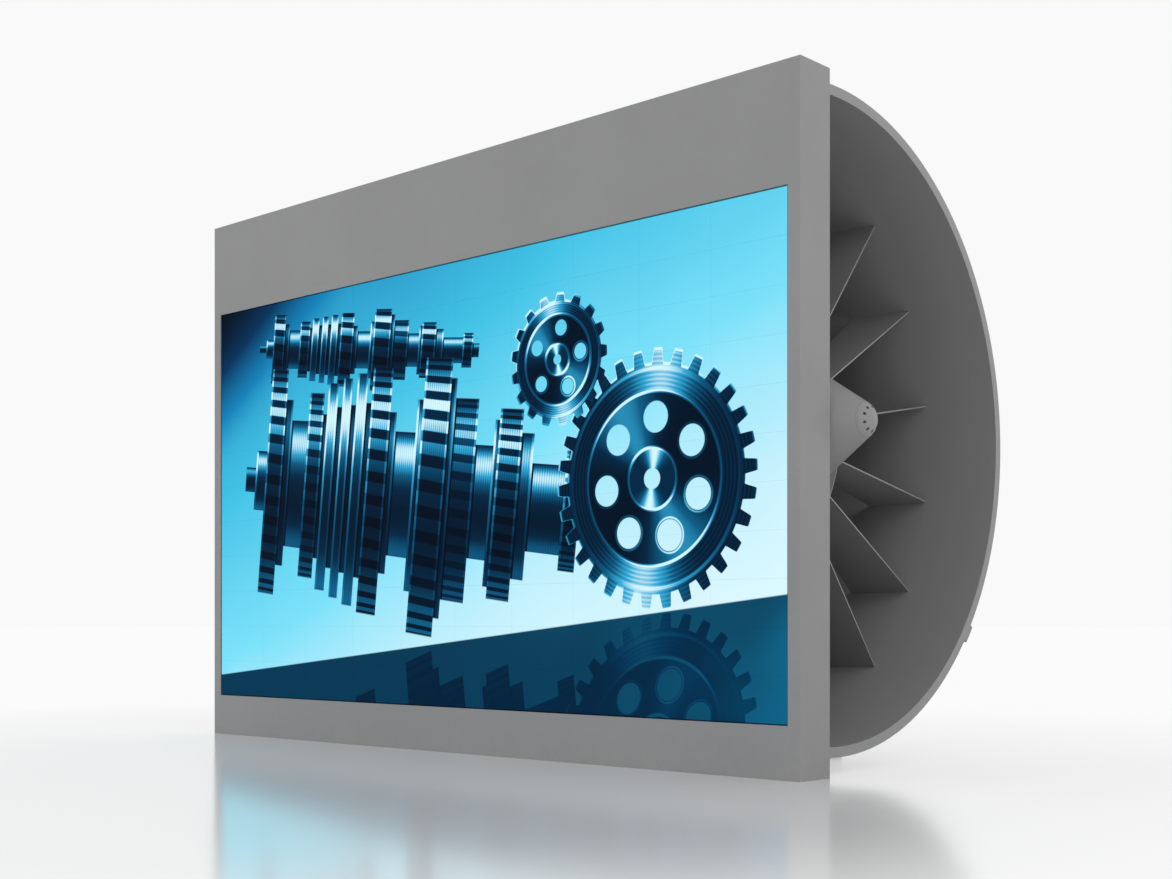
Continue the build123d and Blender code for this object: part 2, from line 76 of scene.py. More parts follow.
# A roller's steps: where each starts, then its radius, the depth of its teeth and its brightness
ROLLER_STEPS: tuple[Stop, ...] = (
    (0.00, (0.10, 0.0, 0.7)), (0.035, (0.24, 0.0, 0.9)), (0.07, (0.90, 0.8, 0.9)),
    (0.125, (0.66, 0.0, 0.45)), (0.145, (0.50, 0.0, 0.9)), (0.20, (0.72, 0.7, 0.8)),
    (0.25, (0.56, 0.0, 0.4)), (0.26, (0.80, 0.0, 1.0)), (0.29, (0.62, 0.0, 0.4)),
    (0.305, (0.84, 0.0, 1.0)), (0.335, (0.64, 0.0, 0.4)), (0.35, (0.88, 0.0, 1.0)),
    (0.38, (0.66, 0.0, 0.4)), (0.395, (0.92, 0.85, 0.9)), (0.455, (0.60, 0.0, 0.5)),
    (0.475, (0.46, 0.0, 0.95)), (0.535, (0.70, 0.0, 0.8)), (0.55, (1.00, 0.8, 1.0)),
    (0.625, (0.86, 0.0, 0.5)), (0.64, (0.72, 0.6, 0.8)), (0.70, (0.40, 0.0, 0.9)),
    (0.75, (0.58, 0.0, 0.5)), (0.76, (0.66, 0.8, 0.9)), (0.82, (0.50, 0.0, 0.8)),
    (0.85, (0.30, 0.0, 0.9)), (0.93, (0.40, 0.7, 0.8)), (0.97, (0.16, 0.0, 0.7)),
)


class Sheen(Enum):
    """How shiny a surface is: its lowest and highest roughness."""

    MATT = (0.58, 0.74)
    SATIN = (0.40, 0.54)
    BRUSHED = (0.28, 0.46)

    def spread(self, amount: "Term") -> "Term":
        """Give the roughness for an amount from 0, its shiniest, to 1, its dullest."""
        low, high = self.value
        return amount * (high - low) + low


def grey(shade: float, tint: float = 1.0) -> Colour:
    """Give a grey, with its blue part times a tint."""
    return shade, shade, shade * tint


def numbered(stem: str, count: int) -> tuple[str, ...]:
    """Give the names of the nodes that share a stem and are numbered from 1."""
    return tuple(f"{stem}_{index}" for index in range(1, count + 1))


class Term:
    """A number in a material's graph that takes part in Python expressions."""

    def __init__(self, graph: "Graph", socket: Socket) -> None:
        """Keep the graph and the socket that gives the number."""
        self.graph = graph
        self.socket = socket

    def __add__(self, other: Number) -> "Term":
        """Add a number."""
        return self.graph.math("ADD", self, other)

    __radd__ = __add__

    def __mul__(self, other: Number) -> "Term":
        """Multiply by a number."""
        return self.graph.math("MULTIPLY", self, other)

    __rmul__ = __mul__

    def __sub__(self, other: Number) -> "Term":
        """Subtract a number."""
        return self.graph.math("SUBTRACT", self, other)

    def __rsub__(self, other: Number) -> "Term":
        """Subtract this from a number."""
        return self.graph.math("SUBTRACT", other, self)

    def __truediv__(self, other: Number) -> "Term":
        """Divide by a number."""
        return self.graph.math("DIVIDE", self, other)

    def __rtruediv__(self, other: Number) -> "Term":
        """Divide a number by this."""
        return self.graph.math("DIVIDE", other, self)

    def __pow__(self, other: Number) -> "Term":
        """Raise to a power."""
        return self.graph.math("POWER", self, other)

    def __neg__(self) -> "Term":
        """Change the sign."""
        return self.graph.math("MULTIPLY", self, -1.0)

    def __abs__(self) -> "Term":
        """Drop the sign."""
        return self.graph.math("ABSOLUTE", self)


class Graph:
    """The node graph of one material, or of the world."""

    def __init__(self, owner: Union[bpy.types.Material, bpy.types.World],
                 output: str = "ShaderNodeOutputMaterial") -> None:
        """Start an empty graph with its output node.

        Args:
            owner: The new material or world.
            output: The output node's type.
        """
        self.owner = owner
        self.owner.use_nodes = True
        self.tree = self.owner.node_tree
        self.tree.nodes.clear()
        self.output = self.node(output)

    def feed(self, socket: Socket, value: object) -> None:
        """Link a socket to a term or socket, or set its constant.

        Args:
            socket: The input to feed.
            value: A term, a socket, or a plain value.
        """
        if isinstance(value, Term):
            value = value.socket
        if isinstance(value, Socket):
            self.tree.links.new(value, socket)
        elif isinstance(value, tuple) and len(value) == 3 and socket.type == "RGBA":
            socket.default_value = (*value, 1.0)
        else:
            socket.default_value = value

    def node(self, kind: str, settings: Optional[dict] = None,
             inputs: Optional[dict] = None) -> bpy.types.Node:
        """Add a node, set it up, and feed its inputs.

        Args:
            kind: The node's type.
            settings: Its properties; "stops" are a ramp's positions and colours, and "held"
                makes the ramp keep each colour up to the next stop.
            inputs: Values or links by the input's name or place.

        Returns:
            The new node.
        """
        node = self.tree.nodes.new(kind)
        for key, value in (settings or {}).items():
            if key == "stops":
                elements = node.color_ramp.elements
                while len(elements) < len(value):
                    elements.new(0.5)
                for element, (position, colour) in zip(elements, value):
                    element.position = position
                    element.color = (*colour, 1.0)
            elif key == "held":
                node.color_ramp.interpolation = "CONSTANT"
            else:
                setattr(node, key, value)
        for key, value in (inputs or {}).items():
            self.feed(node.inputs[key], value)
        return node

    def math(self, operation: str, first: Number, second: Number = 0.0) -> Term:
        """Work out a Math node's operation on one number or two."""
        node = self.node("ShaderNodeMath", {"operation": operation}, {0: first, 1: second})
        return Term(self, node.outputs[0])

    def split(self, vector: Socket) -> tuple[Term, Term, Term]:
        """Give the three parts of a vector or colour."""
        parts = self.node("ShaderNodeSeparateXYZ", inputs={0: vector})
        return tuple(Term(self, parts.outputs[index]) for index in range(3))

    def coords(self) -> Socket:
        """Give the point's place in the object's own frame, in metres."""
        return self.node("ShaderNodeTexCoord").outputs["Object"]

    def place(self) -> tuple[Term, Term, Term]:
        """Give the point's X, Y and Z in the object's own frame, in metres."""
        return self.split(self.coords())

    def facing(self) -> tuple[Term, Term, Term]:
        """Give the X, Y and Z of the way the surface faces."""
        return self.split(self.node("ShaderNodeNewGeometry").outputs["Normal"])

    def noise(self, scale: float, detail: float = 3.0, stretch: Colour = EVEN) -> Term:
        """Give smooth noise from about 0 to 1.

        Args:
            scale: Lumps in a metre.
            detail: How many finer layers it has.
            stretch: A factor on each axis of the place.

        Returns:
            The noise.
        """
        mapping = self.node("ShaderNodeMapping", inputs={"Vector": self.coords(),
                                                         "Scale": stretch})
        node = self.node("ShaderNodeTexNoise", inputs={"Vector": mapping.outputs[0],
                                                       "Scale": scale, "Detail": detail})
        return Term(self, node.outputs[0])

    def ease(self, value: Number, low: float, high: float) -> Term:
        """Rise smoothly from 0 at low to 1 at high."""
        node = self.node("ShaderNodeMapRange", {"interpolation_type": "SMOOTHSTEP"},
                         {0: value, 1: low, 2: high})
        return Term(self, node.outputs[0])

    def fall(self, value: Number, low: float, high: float) -> Term:
        """Fall smoothly from 1 at low to 0 at high."""
        return 1 - self.ease(value, low, high)

    def wave(self, angle: Term, kind: str = "SINE") -> Term:
        """Give a wave from 0 to 1, the sine or cosine of an angle."""
        return self.math(kind, angle) * 0.5 + 0.5

    def polar(self, across: Term, up: Term) -> tuple[Term, Term]:
        """Give the distance from the middle and the angle of a place."""
        radius = self.math("SQRT", across * across + up * up)
        return radius, self.math("ARCTAN2", up, across)

    def from_ring(self, radius: Term, angle: Term, ring: float, count: int) -> Term:
        """Give the distance to the nearest of the points that stand evenly round a ring.

        Args:
            radius: The place's distance from the ring's middle.
            angle: The place's angle.
            ring: The ring's radius.
            count: How many points stand round it.

        Returns:
            The distance.
        """
        folded = self.math("PINGPONG", angle + 4 * TURN, TURN / count / 2)
        square = radius * radius + ring**2 - radius * self.math("COSINE", folded) * (2 * ring)
        return self.math("SQRT", self.math("MAXIMUM", square, 0.0))

    def blend(self, factor: Number, first: object, second: object) -> Socket:
        """Mix two colours or their sockets; the factor is the second one's share."""
        node = self.node("ShaderNodeMix", {"data_type": "RGBA"}, {0: factor, 6: first, 7: second})
        return node.outputs[2]

    def cloud(self, tone: Term, shade: float, darker: float, lighter: float,
              tint: float = 1.0) -> Socket:
        """Vary a grey between a darker and a lighter share of its shade."""
        return self.blend(tone, grey(shade * darker, tint), grey(shade * lighter, tint))

    def ramp(self, value: Number, stops: tuple[Stop, ...]) -> Socket:
        """Turn a number from 0 to 1 into a colour between stops."""
        return self.node("ShaderNodeValToRGB", {"stops": stops}, {0: value}).outputs[0]

    def bump(self, height: Term, depth: float, strength: float = 0.5) -> Socket:
        """Give a bumpy surface's normal; the depth in metres is what a height of 1 means."""
        node = self.node("ShaderNodeBump", inputs={"Strength": strength, "Distance": depth,
                                                   "Height": height})
        return node.outputs[0]

    def surface(self, **inputs: object) -> None:
        """End the graph in a Principled shader.

        Args:
            inputs: The shader's inputs, with underscores for the spaces in their names.
        """
        named = {key.replace("_", " "): value for key, value in inputs.items()}
        shader = self.node("ShaderNodeBsdfPrincipled", inputs=named)
        self.feed(self.output.inputs["Surface"], shader.outputs[0])

    def mix_shaders(self, factor: Term, first: bpy.types.Node, second: bpy.types.Node) -> None:
        """End the graph in a mix of two shader nodes; the factor is the second one's share."""
        mixed = self.node("ShaderNodeMixShader", inputs={0: factor, 1: first.outputs[0],
                                                         2: second.outputs[0]})
        self.feed(self.output.inputs["Surface"], mixed.outputs[0])


@dataclass(frozen=True)
class Finish:
    """A finish, which makes one material."""

    def build(self, name: str) -> bpy.types.Material:
        """Make the material.

        Args:
            name: The material's name.

        Returns:
            The material.
        """
        graph = Graph(bpy.data.materials.new(name))
        self.paint(graph)
        return graph.owner

    def paint(self, graph: Graph) -> None:
        """Fill the material's graph, in each finish's own way."""
        raise NotImplementedError


@dataclass(frozen=True)
class SheetPaint(Finish):
    """Sprayed paint on sheet metal: a faint clouding, orange peel and dust near the floor.

    The throat is the shade of faces turned to the duct's axis, and the deep painted shade darkens
    the far end of the duct, where shade falls. Other sheets have neither.
    """

    shade: float
    coolness: float = 0.012
    clouding: float = 0.035
    cloud_scale: float = 1.7
    grain_scale: float = 38.0
    grain_share: float = 0.2
    banding: Colour = EVEN
    sheen: Sheen = Sheen.SATIN
    sheen_scale: float = 9.0
    peel: float = 0.00012
    dust: float = 0.06
    dust_height: float = 0.16
    dust_patches: Span = (0.35, 0.65)
    dust_dulling: float = 0.1
    throat: Optional[float] = None
    deep_painted_shade: Optional[float] = None
    deep_painted_shade_ends: Span = (0.95, 1.06)

    def paint(self, graph: Graph) -> None:
        """Fill the material's graph.

        Args:
            graph: The material's graph.
        """
        x, y, z = graph.place()
        clouds = graph.noise(self.cloud_scale, 4.0, self.banding)
        grain = graph.noise(self.grain_scale, 3.0, self.banding)
        tone = graph.ease(clouds * (1 - self.grain_share) + grain * self.grain_share, *NOISE_CORE)
        paint = self._mottle(graph, tone, self.shade)
        if self.throat is not None:
            _, faces_back, faces_up = graph.facing()
            outward = (y - AXIS_Y) * faces_back + (z - AXIS_Z) * faces_up
            paint = graph.blend(graph.ease(-outward, *FACED), paint,
                                self._mottle(graph, tone, self.throat))
        # Painted shade: the far end of the duct, low in X, is painted a darker grey for the shade
        # there.
        if self.deep_painted_shade is not None:
            paint = graph.blend(graph.ease(x, *self.deep_painted_shade_ends),
                                self._mottle(graph, tone, self.deep_painted_shade), paint)
        settled = graph.fall(z, 0.0, self.dust_height) * graph.ease(grain, *self.dust_patches)
        dusty = graph.blend(settled * self.dust, paint, DUST)
        rough = self.sheen.spread(graph.noise(self.sheen_scale, 5.0)) + settled * self.dust_dulling
        graph.surface(Base_Color=dusty, Roughness=rough,
                      Normal=graph.bump(graph.noise(PEEL_SCALE, 2.0), self.peel))

    def _mottle(self, graph: Graph, tone: Term, shade: float) -> Socket:
        """Give a shade of the paint with its faint clouding."""
        return graph.cloud(tone, shade, 1 - self.clouding, 1 + self.clouding, 1 + self.coolness)


@dataclass(frozen=True)
class BladePaint(Finish):
    """Paint on the flat blades, with a painted highlight on the cut edges that face the mouth."""

    shade: float
    # The edge grey is the painted highlight on faces turned towards the mouth.
    edge: float
    clouding: float = 0.05
    cloud_scale: float = 3.0
    stroke_scale: float = 24.0
    strokes: Colour = (0.25, 1.0, 1.0)
    # How far a face turns towards the mouth before it takes the painted highlight.
    painted_highlight_facing: Span = (0.8, 0.95)
    sheen: Sheen = Sheen.SATIN
    dulling: float = 0.16
    peel: float = 0.00010

    def paint(self, graph: Graph) -> None:
        """Fill the material's graph.

        Args:
            graph: The material's graph.
        """
        forward, _, _ = graph.facing()
        brushed = graph.noise(self.stroke_scale, 4.0, self.strokes)
        clouds = graph.noise(self.cloud_scale, 3.0)
        tone = graph.ease(brushed * 0.5 + clouds * 0.5, *NOISE_CORE)
        face = graph.cloud(tone, self.shade, 1 - self.clouding, 1 + self.clouding)
        # Painted highlight: faces turned towards the mouth, along +X, take the lighter edge grey.
        paint = graph.blend(graph.ease(forward, *self.painted_highlight_facing), face, grey(self.edge))
        graph.surface(Base_Color=paint, Roughness=self.sheen.value[0] + brushed * self.dulling,
                      Normal=graph.bump(graph.noise(PEEL_SCALE, 2.0), self.peel))


@dataclass(frozen=True)
class TurnedPaint(Finish):
    """Paint on the turned spinner: turning rings, nose ribs, joint, painted shade in the holes."""

    shade: float
    tip_x: float
    nose_length: float = 0.0338
    ring_pitch: float = 0.0024
    rib_count: float = 72.0
    cloud_scale: float = 14.0
    hole_count: int = 9
    hole_circle: float = 0.041
    hole_radius: float = 0.0054
    hole_edge: Span = (-0.0012, 0.0002)
    # The hole grey is painted shade: the holes are painted near black for the shade inside them.
    painted_hole_shade: float = 0.012
    seam_width: Span = (0.0007, 0.0016)
    seam_tint: Colour = (0.06, 0.06, 0.061)
    sheen: Sheen = Sheen.SATIN
    dulling: float = 0.1
    relief: float = 0.00025

    def paint(self, graph: Graph) -> None:
        """Fill the material's graph.

        Args:
            graph: The material's graph.
        """
        x, y, z = graph.place()
        joint = self.tip_x - self.nose_length
        radius, angle = graph.polar(y - AXIS_Y, z - AXIS_Z)
        away = graph.from_ring(radius, angle, self.hole_circle, self.hole_count)
        # Painted shade: a near-black disc on each hole stands in for the shade inside it.
        hole = graph.fall(away - self.hole_radius, *self.hole_edge)
        hole = hole * graph.ease(x - joint, 0.0, 0.002)
        on_nose = graph.ease(x - joint, -0.0006, 0.0006)
        seam = graph.fall(abs(x - joint), *self.seam_width)
        rings = graph.wave(x * (TURN / self.ring_pitch))
        ribs = graph.wave(angle * self.rib_count)
        clouds = graph.noise(self.cloud_scale, 4.0)
        cone = graph.cloud(clouds, self.shade, 0.95, 1.06)
        nose = graph.cloud(ribs * 0.6 + clouds * 0.4, self.shade, 0.93, 1.07)
        lined = graph.blend(seam * 0.3, graph.blend(on_nose, cone, nose), self.seam_tint)
        holed = graph.blend(hole * 0.9, lined, grey(self.painted_hole_shade))
        height = rings * (1 - on_nose) * 0.5 + ribs * on_nose * 0.5 - seam
        graph.surface(Base_Color=holed, Roughness=self.sheen.value[0] + clouds * self.dulling,
                      Normal=graph.bump(height, self.relief, 0.4))


@dataclass(frozen=True)
class BoardPaint(Finish):
    """Fibre board, painted or bare, with its fine fibres."""

    light: Colour
    dark: Colour
    fibre_scale: float = 260.0
    fibre_share: float = 0.6
    fibres: Colour = (1.0, 0.35, 1.0)
    cloud_scale: float = 4.0
    sheen: Sheen = Sheen.MATT
    relief: float = 0.00015

    def paint(self, graph: Graph) -> None:
        """Fill the material's graph.

        Args:
            graph: The material's graph.
        """
        fibres = graph.noise(self.fibre_scale, 4.0, self.fibres)
        clouds = graph.noise(self.cloud_scale, 3.0)
        tone = graph.ease(fibres * self.fibre_share + clouds * (1 - self.fibre_share), *NOISE_CORE)
        graph.surface(Base_Color=graph.blend(tone, self.dark, self.light),
                      Roughness=self.sheen.spread(fibres),
                      Normal=graph.bump(fibres, self.relief, 0.6))


@dataclass(frozen=True)
class BareMetal(Finish):
    """Zinc-plated or brushed metal with fine marks along one way."""

    tint: Colour
    along: Colour
    spangle: float = 0.12
    spangle_scale: float = 55.0
    mark_scale: float = 190.0
    darkest: float = 0.8
    sheen: Sheen = Sheen.BRUSHED
    relief: float = 0.00005

    def paint(self, graph: Graph) -> None:
        """Fill the material's graph.

        Args:
            graph: The material's graph.
        """
        marks = graph.noise(self.mark_scale, 4.0, self.along)
        cells = graph.node("ShaderNodeTexVoronoi", inputs={"Scale": self.spangle_scale,
                                                           "Vector": graph.coords()})
        spot, _, _ = graph.split(cells.outputs["Color"])
        tone = marks * 0.5 + spot * self.spangle + 0.35
        darker = tuple(part * self.darkest for part in self.tint)
        metal = graph.blend(graph.ease(tone, 0.3, 0.9), darker, self.tint)
        graph.surface(Base_Color=metal, Metallic=0.9, Roughness=self.sheen.spread(marks),
                      Normal=graph.bump(marks, self.relief))


@dataclass(frozen=True)
class MouldedPlastic(Finish):
    """Black moulded plastic with a fine spark texture."""

    shade: float = 0.022
    cloud_scale: float = 30.0
    spark_scale: float = 900.0
    sheen: Sheen = Sheen.MATT
    relief: float = 0.00008

    def paint(self, graph: Graph) -> None:
        """Fill the material's graph.

        Args:
            graph: The material's graph.
        """
        spark = graph.noise(self.spark_scale, 2.0)
        tone = graph.cloud(graph.noise(self.cloud_scale, 3.0), self.shade, 0.8, 1.3)
        graph.surface(Base_Color=tone, Roughness=self.sheen.spread(spark),
                      Normal=graph.bump(spark, self.relief, 0.6))


@dataclass(frozen=True)
class Wheel:
    """A toothed wheel in the screen's picture.

    Its place and radius are metres on the screen. The tooth, windows, bore, rim, hub, step, lines
    and grooves are shares of the radius, and a groove has its brightness too.
    """

    x: float
    z: float
    radius: float
    teeth: int
    turn: float
    windows: int
    lit_from: float
    tooth: float = 0.11
    window_ring: float = 0.47
    window: float = 0.125
    bore: float = 0.085
    rim: float = 0.66
    hub: float = 0.235
    step: float = 0.01
    line_pitch: float = 0.034
    grooves: tuple[Span, ...] = ((0.665, 0.85), (0.24, 0.75), (0.84, 0.4))
    soft: float = 0.004
    groove_width: Span = (0.003, 0.008)
    outline_width: Span = (0.006, 0.014)

    def draw(self, graph: Graph, x: Term, z: Term, behind: Socket) -> Socket:
        """Draw the wheel over what is behind it.

        Args:
            graph: The picture's graph.
            x: The place across the screen.
            z: The place up the screen.
            behind: The colour behind the wheel.

        Returns:
            The colour with the wheel drawn.
        """
        size, window, bore = self.radius, self.window * self.radius, self.bore * self.radius
        radius, angle = graph.polar(x - self.x, z - self.z)
        tooth = graph.ease(graph.math("SINE", angle * float(self.teeth) + self.turn), -0.45, 0.45)
        inside = tooth * (self.tooth * size) + (1 - self.tooth) * size - radius
        away = graph.from_ring(radius, angle + self.turn, self.window_ring * size, self.windows)
        solid = (graph.ease(inside, 0.0, self.soft) * graph.ease(away, window - self.soft, window)
                 * graph.ease(radius, bore - self.soft, bore))

        rim = graph.ease(radius, self.rim * size, (self.rim + self.step) * size)
        hub = graph.fall(radius, self.hub * size, (self.hub + self.step) * size)
        from_light = angle - self.lit_from
        shine = graph.wave(from_light * 2.0, "COSINE") ** 3.0
        counter = graph.wave(from_light * 2.0 + 1.3, "COSINE") ** 5.0
        lines = graph.wave(radius * (TURN / (self.line_pitch * size)))
        web_tone = shine * 0.55 + 0.05
        rim_tone = counter * 0.72 + lines * 0.12 + 0.08
        hub_tone = counter * 0.8 + 0.22
        shade = web_tone * (1 - rim) + rim_tone * rim
        shade = shade * (1 - hub) + hub * hub_tone
        for share, bright in self.grooves:
            groove = graph.fall(abs(radius - share * size), *self.groove_width)
            shade = shade + groove * bright * (shine * 0.7 + 0.3)
        toward = graph.wave(from_light, "COSINE")
        outline = graph.fall(inside, *self.outline_width) * toward
        lip = graph.ease(away, window, window + 0.003)
        lip = lip * graph.fall(away, window + 0.004, window + 0.011)
        shade = shade + outline * 0.85 + lip * (1 - toward) * 0.5
        return graph.blend(solid, behind, graph.ramp(shade, METAL))


@dataclass(frozen=True)
class Roller:
    """A stepped, toothed roller in the screen's picture, seen from the side.

    Its place, length and reach, the radius of its largest step, are metres on the screen. Its
    sheen comes from a light above it and one below, each the share of the side's slope and of
    the front that it catches.
    """

    x: float
    z: float
    length: float
    reach: float
    tilt: float
    teeth: float
    steps: tuple[Stop, ...] = ROLLER_STEPS
    probe: float = 0.005
    step_rise: Span = (0.01, 0.03)
    cuts: int = 170
    light_above: Span = (0.66, 0.75)
    light_below: Span = (-0.94, 0.34)

    def draw(self, graph: Graph, x: Term, z: Term, behind: Socket) -> Socket:
        """Draw the roller over what is behind it.

        Args:
            graph: The picture's graph.
            x: The place across the screen.
            z: The place up the screen.
            behind: The colour behind the roller.

        Returns:
            The colour with the roller drawn.
        """
        lean_x, lean_z = math.cos(self.tilt), math.sin(self.tilt)
        across, up = x - self.x, z - self.z
        along = (across * lean_x + up * lean_z) / self.length + 0.5
        height = up * lean_x - across * lean_z
        radius, tooth_depth, tone = self._step(graph, along)
        radius_after, _, _ = self._step(graph, along + self.probe)
        radius_before, _, _ = self._step(graph, along - self.probe)
        slope = height / (radius * self.reach)
        solid = (graph.fall(abs(slope), 0.985, 1.0) * graph.ease(along, 0.0, 0.002)
                 * graph.fall(along, 0.998, 1.0))

        slope = graph.math("MINIMUM", graph.math("MAXIMUM", slope, -0.999), 0.999)
        front = graph.math("SQRT", 1 - slope * slope)
        lit, under = (graph.math("MAXIMUM", slope * on_slope + front * on_front, 0.0)
                      for on_slope, on_front in (self.light_above, self.light_below))
        shade = lit ** 14.0 * 0.80 + lit ** 2.5 * 0.34 + under ** 5.0 * 0.50
        round_angle = graph.math("ARCSINE", slope) * self.teeth + along * 9.0
        gap = graph.ease(graph.math("SINE", round_angle), -0.15, 0.35)
        cut = graph.wave(along * (TURN * self.cuts))
        shade = shade * tone * (1 - gap * tooth_depth) * (1 - cut * 0.16)
        rise = graph.ease(radius - radius_before, *self.step_rise)
        drop = graph.ease(radius - radius_after, *self.step_rise)
        shadow = graph.ease(radius_before - radius, *self.step_rise)
        shade = shade * (1 - shadow * 0.8) + (rise * 0.55 + drop * 0.30) * (lit * 0.8 + 0.15)
        return graph.blend(solid, behind, graph.ramp(shade, METAL))

    def _step(self, graph: Graph, along: Term) -> tuple[Term, Term, Term]:
        """Give the radius, tooth depth and brightness of the step at a place along the roller."""
        ramp = graph.node("ShaderNodeValToRGB", {"stops": self.steps, "held": True}, {0: along})
        return graph.split(ramp.outputs[0])


@dataclass(frozen=True)
class WorkshopPicture(Finish):
    """The screen's picture: toothed wheels and stepped rollers in blue light over a dark bench."""

    left: float
    bottom: float
    width: float
    height: float
    motifs: tuple[Union[Wheel, Roller], ...]
    module: Span = (0.32, 0.16)
    unevenness: float = 0.008
    edge: float = 0.003
    bench_low: float = 0.055
    bench_climb: float = 0.19
    bench_edge: float = 0.006
    backdrop: tuple[Stop, ...] = (
        (0.00, (0.0005, 0.005, 0.014)),
        (0.12, (0.001, 0.035, 0.11)),
        (0.34, (0.007, 0.23, 0.50)),
        (0.58, (0.055, 0.55, 0.80)),
        (0.80, (0.20, 0.76, 0.96)),
        (1.00, (0.74, 0.95, 1.00)),
    )
    bench: tuple[Stop, ...] = (
        (0.0, (0.0005, 0.016, 0.045)),
        (0.6, (0.0006, 0.028, 0.07)),
        (1.0, (0.001, 0.075, 0.16)),
    )
    bench_mirror: Colour = (0.04, 0.55, 0.9)
    glass: Colour = (0.0015, 0.0015, 0.0018)

    def paint(self, graph: Graph) -> None:
        """Fill the material's graph.

        Args:
            graph: The material's graph.
        """
        x, _, z = graph.place()
        share = (x - self.left) / self.width
        bench = (share * self.bench_climb + self.bench_low) * self.height + self.bottom
        above = z - bench
        mirrored = bench + abs(above)
        rise = (mirrored - self.bottom) / self.height
        haze = graph.noise(0.9, 3.0)
        light = share * 0.34 - rise * 0.46 + 0.80 + haze * 0.12
        corner = graph.ease(share * 2.5 + (1 - rise) * 1.9, 0.0, 0.80)
        picture = graph.ramp(graph.ease(light, 0.0, 1.15) * corner, self.backdrop)
        for motif in self.motifs:
            picture = motif.draw(graph, x, mirrored, picture)
        gleam = graph.ease(share, 0.35, 1.1) * graph.ease(haze, *NOISE_CORE)
        tinted = graph.node("ShaderNodeMix", {"data_type": "RGBA", "blend_type": "MULTIPLY"},
                            {0: 1.0, 6: picture, 7: self.bench_mirror}).outputs[2]
        glossy = graph.blend(0.06 + gleam * 0.07, graph.ramp(gleam, self.bench), tinted)
        picture = graph.blend(graph.ease(-above, 0.0, self.bench_edge), picture, glossy)
        shown = graph.blend(self._dimming(graph, x, z), picture, BLACK)
        _, faces_back, _ = graph.facing()
        glow = graph.blend(graph.ease(-faces_back, *FACED), BLACK, shown)
        graph.surface(Base_Color=self.glass, Roughness=graph.noise(160.0, 2.0) * 0.12 + 0.5,
                      Emission_Color=glow, Emission_Strength=1.0, Specular_IOR_Level=0.01)

    def _dimming(self, graph: Graph, x: Term, z: Term) -> Term:
        """Say how much darker the screen is: unevenly by module, and round its margin.

        Args:
            graph: The material's graph.
            x: The place across the screen.
            z: The place up the screen.

        Returns:
            The share of light that is lost.
        """
        wide, tall = self.module
        column = graph.math("FLOOR", (x - self.left) / wide)
        row = graph.math("FLOOR", (z - self.bottom) / tall)
        cell = graph.node("ShaderNodeCombineXYZ", inputs={0: column, 1: row})
        chance = graph.node("ShaderNodeTexWhiteNoise", {"noise_dimensions": "2D"},
                            {"Vector": cell.outputs[0]})
        to_side = self.width / 2 - abs(x - (self.left + self.width / 2))
        to_end = self.height / 2 - abs(z - (self.bottom + self.height / 2))
        margin = graph.fall(graph.math("MINIMUM", to_side, to_end), self.edge, self.edge + 0.001)
        uneven = Term(graph, chance.outputs["Value"]) * self.unevenness
        return graph.math("MAXIMUM", uneven, margin * 0.8)


@dataclass(frozen=True)
class StudioFloor(Finish):
    """The pale floor, softly glossy near the stand and as white as the backdrop far from it."""

    shade: float = 0.96
    cloud_scale: float = 0.6
    rough: float = 0.13
    rough_spread: float = 0.03
    polish: float = 0.2
    fade: Span = (2.4, 4.7)
    far_white: float = 0.962

    def paint(self, graph: Graph) -> None:
        """Fill the material's graph.

        Args:
            graph: The material's graph.
        """
        x, y, _ = graph.place()
        clouds = graph.noise(self.cloud_scale, 3.0)
        near = graph.node("ShaderNodeBsdfPrincipled",
                          inputs={"Base Color": graph.cloud(clouds, self.shade, 0.99, 1.01),
                                  "Metallic": self.polish,
                                  "Roughness": clouds * self.rough_spread + self.rough})
        white = graph.node("ShaderNodeEmission", inputs={"Color": grey(self.far_white)})
        seen = Term(graph, graph.node("ShaderNodeLightPath").outputs["Is Camera Ray"])
        away = graph.ease(graph.math("SQRT", x * x + y * y), *self.fade)
        graph.mix_shaders(away * seen, near, white)


def put(name: str, data: bpy.types.ID) -> bpy.types.Object:
    """Put a mesh, lamp or camera into the scene.

    Args:
        name: The object's name.
        data: The mesh, lamp or camera.

    Returns:
        The object.
    """
    thing = bpy.data.objects.new(name, data)
    bpy.context.scene.collection.objects.link(thing)
    return thing


def put_mesh(name: str, mesh: bmesh.types.BMesh, material: bpy.types.Material) -> bpy.types.Object:
    """Put a finished bmesh into the scene.

    Args:
        name: The object's name.
        mesh: Its mesh, in place; it is freed here.
        material: Its finish.

    Returns:
        The object.
    """
    data = bpy.data.meshes.new(name)
    mesh.to_mesh(data)
    mesh.free()
    data.materials.append(material)
    return put(name, data)


def keep(name: str, mesh: bmesh.types.BMesh, material: bpy.types.Material) -> None:
    """Turn a finished bmesh into a piece of the stand, smooth but for its sharp edges.

    Args:
        name: The piece's name.
        mesh: Its mesh, in place; it is freed here.
        material: Its finish.
    """
    bmesh.ops.remove_doubles(mesh, verts=mesh.verts, dist=MERGE)
    bmesh.ops.recalc_face_normals(mesh, faces=mesh.faces)
    for face in mesh.faces:
        face.smooth = True
    for edge in mesh.edges:
        edge.smooth = len(edge.link_faces) != 2 or edge.calc_face_angle(0.0) < SHARP
    piece = put_mesh(name, mesh, material)
    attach(piece, BODY)
    LOG.info("made %s with %d faces", name, len(piece.data.polygons))


